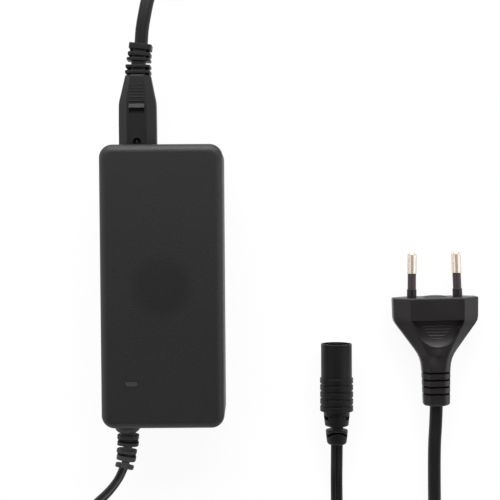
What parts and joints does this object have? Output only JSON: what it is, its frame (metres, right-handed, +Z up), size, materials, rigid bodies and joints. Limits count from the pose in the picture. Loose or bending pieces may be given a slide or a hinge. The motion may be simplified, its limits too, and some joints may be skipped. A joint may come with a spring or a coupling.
{
  "type": "laptop power adapter",
  "caption": "Slim laptop power adapter with a plug-in mains lead, a flat pinned plug, and a fixed output lead ending in a ribbed barrel connector.",
  "frame": {"origin": "centre of the flat underside of the case, on the surface that the adapter lies on", "axes": "+Y along the case towards the mains inlet, +Z up through the top shell, +X towards the side that the plug lies on"},
  "size_m": [0.2044, 0.3177, 0.03],
  "materials": {
    "case_top": "fine matt texture",
    "case_bottom": "fine matt texture",
    "lamp_window": "clear, faintly smoky",
    "lamp": "clear moulding",
    "spreader_metal": "satin",
    "insulation": "smooth sheet",
    "board": "solder resist",
    "inlet_plastic": "smooth",
    "contact_metal": "bright",
    "fuse_case": "smooth",
    "film_capacitor": "smooth",
    "disc_capacitor": "lacquered",
    "ferrite": "sintered",
    "copper_windings": "enamelled wire",
    "winding_tape": "tape",
    "device_plastic": "moulded",
    "can_sleeve": "shrink sleeve",
    "sink_metal": "satin",
    "wire_insulation": "smooth",
    "relief_rubber": "moulded, matt",
    "output_cord_jacket": "smooth jacket, low sheen",
    "tie_plastic": "matt",
    "output_connector_plastic": "satin",
    "plated_contact": "nickel plated",
    "insulator_plastic": "smooth",
    "mains_connector_plastic": "moulded, matt",
    "contact_brass": "bright",
    "mains_cord_jacket": "smooth jacket, low sheen",
    "plug_plastic": "moulded, satin",
    "bridge_plastic": "smooth",
    "sleeve_plastic": "smooth"
  },
  "bodies": {
    "adapter": {"top_shell": "case_top", "bottom_shell": "case_bottom", "light_pipe": "lamp_window", "indicator_led": "lamp", "heat_spreader": "spreader_metal", "insulation_sheet": "insulation", "circuit_board": "board", "inlet_housing": "inlet_plastic", "inlet_pins": "contact_metal", "fuse": "fuse_case", "x_capacitor": "film_capacitor", "y_capacitor": "disc_capacitor", "choke_core": "ferrite", "choke_windings": "copper_windings", "bridge_rectifier": "device_plastic", "bulk_capacitor": "can_sleeve", "primary_heat_sink": "sink_metal", "power_transistor": "device_plastic", "transformer_core": "ferrite", "transformer_winding": "winding_tape", "secondary_heat_sink": "sink_metal", "output_rectifier": "device_plastic", "output_capacitors": "can_sleeve", "output_inductor": "ferrite", "optocoupler": "device_plastic", "controller_chip": "device_plastic", "output_wires": "wire_insulation", "output_strain_relief": "relief_rubber", "output_cord_run": "output_cord_jacket", "output_cord_coil": "output_cord_jacket", "output_cord_tail": "output_cord_jacket", "output_cord_tie": "tie_plastic", "output_connector_body": "output_connector_plastic", "output_contact_sleeve": "plated_contact", "output_contact_insulator": "insulator_plastic", "output_centre_contact": "plated_contact"},
    "mains_lead": {"mains_connector_body": "mains_connector_plastic", "mains_connector_contacts": "contact_brass", "mains_cord_run": "mains_cord_jacket", "mains_cord_coil": "mains_cord_jacket", "mains_cord_tail": "mains_cord_jacket", "mains_cord_tie": "tie_plastic", "mains_plug_body": "plug_plastic", "mains_plug_bridge": "bridge_plastic", "mains_plug_pins": "plated_contact", "mains_pin_sleeves": "sleeve_plastic"}
  },
  "joints": [
    {"name": "mains_lead_pull", "type": "slide", "parent": "adapter", "child": "mains_lead", "axis": [0, 1, 0], "range_m": [0, 0.02]}
  ]
}
